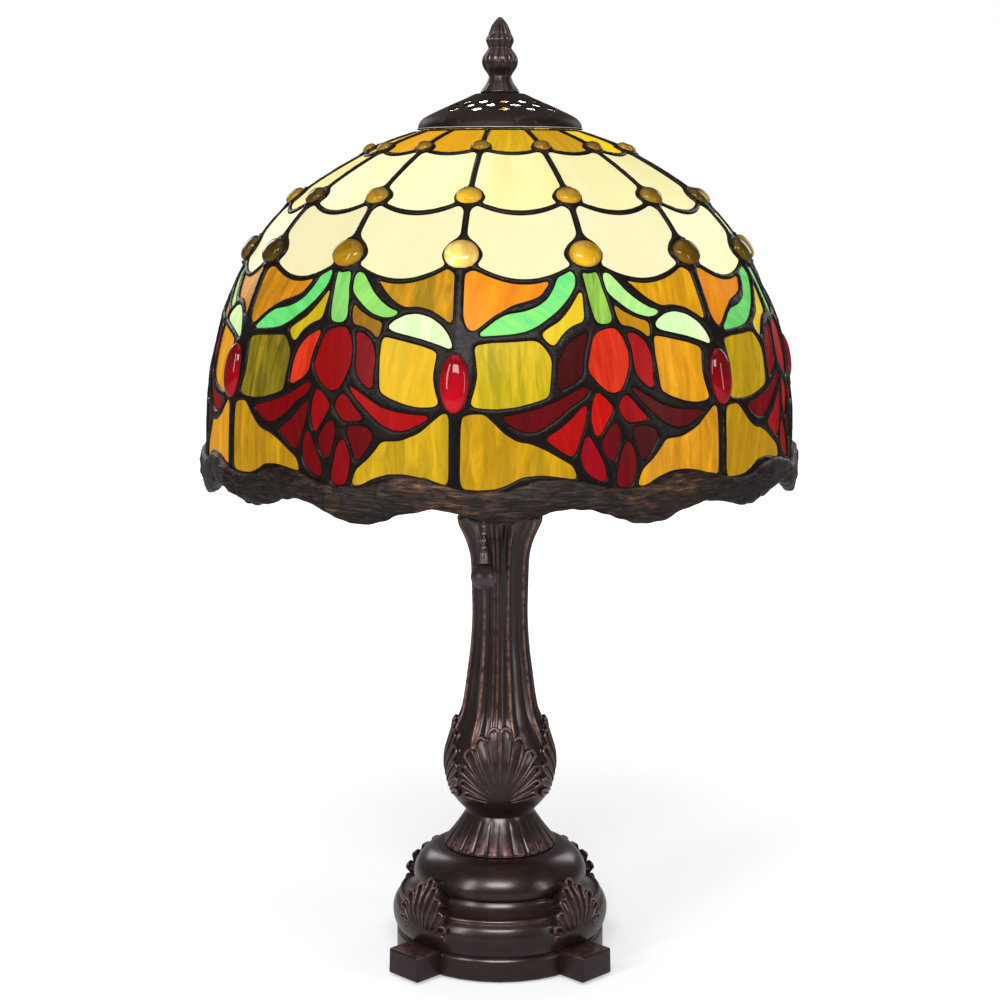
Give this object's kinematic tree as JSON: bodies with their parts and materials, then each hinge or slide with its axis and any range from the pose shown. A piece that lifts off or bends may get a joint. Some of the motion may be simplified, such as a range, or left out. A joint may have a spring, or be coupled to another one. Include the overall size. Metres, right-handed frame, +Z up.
{
  "type": "table lamp",
  "caption": "Table lamp with a leaded stained glass dome shade in a hanging tulip pattern, pull-chain socket, harp, and a cast bronze column and base.",
  "frame": {"origin": "on the resting plane under the middle of the base", "axes": "+Z up along the column and shade axis, -Y towards the front, +X to the front's right"},
  "size_m": [0.3068, 0.3068, 0.4955],
  "materials": {
    "bronze": "antique dark bronze, copper rubbed on the high points",
    "brass": "satin lacquered",
    "steel": "zinc plated",
    "aluminium": "bright",
    "solder": "dark patina on beaded solder",
    "amber_glass": "streaky opalescent, glossy",
    "cream_glass": "opalescent, glossy",
    "tulip_glass": "streaky opalescent in amber, green and red",
    "ruby_glass": "cast cabochon, glossy",
    "frosted_glass": "inside frosted, lit warm white",
    "clear_glass": "clear",
    "felt": "felt",
    "phenolic": "moulded",
    "fibre": "insulating fibre paper",
    "cord": "brown flexible vinyl"
  },
  "bodies": {
    "stand": {"felt_pad": "felt", "base_casting": "bronze", "column": "bronze", "threaded_rod": "steel", "rod_nut_bottom": "steel", "rod_washer": "steel", "rod_nut_top": "steel", "vase_cap": "brass", "harp_saddle": "brass", "socket_cap": "brass", "socket_shell": "brass", "socket_insulator": "fibre", "socket_body": "phenolic", "socket_screw_shell": "aluminium", "socket_center_contact": "brass", "terminal_screw_hot": "brass", "terminal_screw_neutral": "steel", "lever_spring": "steel", "chain_guide": "brass", "cord_grommet": "phenolic", "power_cord": "cord", "plug_body": "cord", "plug_blade_hot": "brass", "plug_blade_neutral": "brass"},
    "harp": {"harp_bow": "brass", "finial_stud": "brass"},
    "left_ferrule": {"harp_ferrule_left": "brass"},
    "right_ferrule": {"harp_ferrule_right": "brass"},
    "cap": {"heat_cap": "bronze"},
    "shade": {"shade_top_ring": "brass", "shade_spider": "brass", "crown_glass": "amber_glass", "cream_glass_upper": "cream_glass", "cream_glass_lower": "cream_glass", "tulip_band_glass": "tulip_glass", "lead_came_network": "solder", "amber_jewels_row_1": "amber_glass", "amber_jewels_row_2": "amber_glass", "amber_jewels_row_3": "amber_glass", "ruby_jewels": "ruby_glass", "rim_border": "bronze"},
    "finial": {"finial": "bronze", "finial_insert": "brass"},
    "bulb": {"bulb_base": "aluminium", "bulb_contact": "brass", "bulb_glass": "frosted_glass", "bulb_stem": "clear_glass", "filament": "steel"},
    "chain_top": {"chain_top_link": "bronze"},
    "chain": {"pull_chain": "bronze"},
    "chain_ball": {"chain_coupling": "bronze", "pull_ball": "bronze"},
    "lever": {"switch_lever": "brass"},
    "rotor": {"switch_rotor": "brass"}
  },
  "joints": [
    {"name": "harp_lift", "type": "slide", "parent": "stand", "child": "harp", "axis": [0, 0, 1], "range_m": [0, 0.035]},
    {"name": "left_ferrule_slide", "type": "slide", "parent": "harp", "child": "left_ferrule", "axis": [0, 0, 1], "range_m": [0, 0.012]},
    {"name": "right_ferrule_slide", "type": "slide", "parent": "harp", "child": "right_ferrule", "axis": [0, 0, 1], "range_m": [0, 0.012]},
    {"name": "shade_lift", "type": "slide", "parent": "harp", "child": "cap", "axis": [0, 0, 1], "range_m": [0, 0.22]},
    {"name": "shade_turn", "type": "hinge", "parent": "cap", "child": "shade", "pos_m": [0, 0, 0.44], "axis": [0, 0, 1], "continuous": true},
    {"name": "finial_turn", "type": "hinge", "parent": "cap", "child": "finial", "pos_m": [0, 0, 0.4572], "axis": [0, 0, 1], "range_deg": [0, 2880]},
    {"name": "bulb_turn", "type": "hinge", "parent": "stand", "child": "bulb", "pos_m": [0, 0, 0.2744], "axis": [0, 0, 1], "range_deg": [0, 1260]},
    {"name": "chain_pull", "type": "slide", "parent": "stand", "child": "chain_top", "axis": [0, 0, -1], "range_m": [0, 0.006], "stiffness_N_per_m": 300, "springref_m": -0.004},
    {"name": "chain_sway", "type": "hinge", "parent": "chain_top", "child": "chain", "pos_m": [-0.00833, -0.02673, 0.2524], "axis": [-0.2974, -0.9548, 0], "range_deg": [-20, 20]},
    {"name": "ball_swing", "type": "hinge", "parent": "chain", "child": "chain_ball", "pos_m": [-0.00833, -0.02673, 0.22475], "axis": [-0.9548, 0.2974, 0], "range_deg": [-15, 25]},
    {"name": "lever_turn", "type": "hinge", "parent": "stand", "child": "lever", "pos_m": [0.00178, 0.00573, 0.2684], "axis": [0.9548, -0.2974, 0], "range_deg": [0, 18.5], "deforming": ["lever_spring"]},
    {"name": "rotor_turn", "type": "hinge", "parent": "stand", "child": "rotor", "pos_m": [-0.00059, -0.00191, 0.2664], "axis": [0.9548, -0.2974, 0], "continuous": true}
  ],
  "couplings": [
    {"joint": "lever_turn", "follows": "chain_pull", "rad_per_m": 52.36}
  ]
}
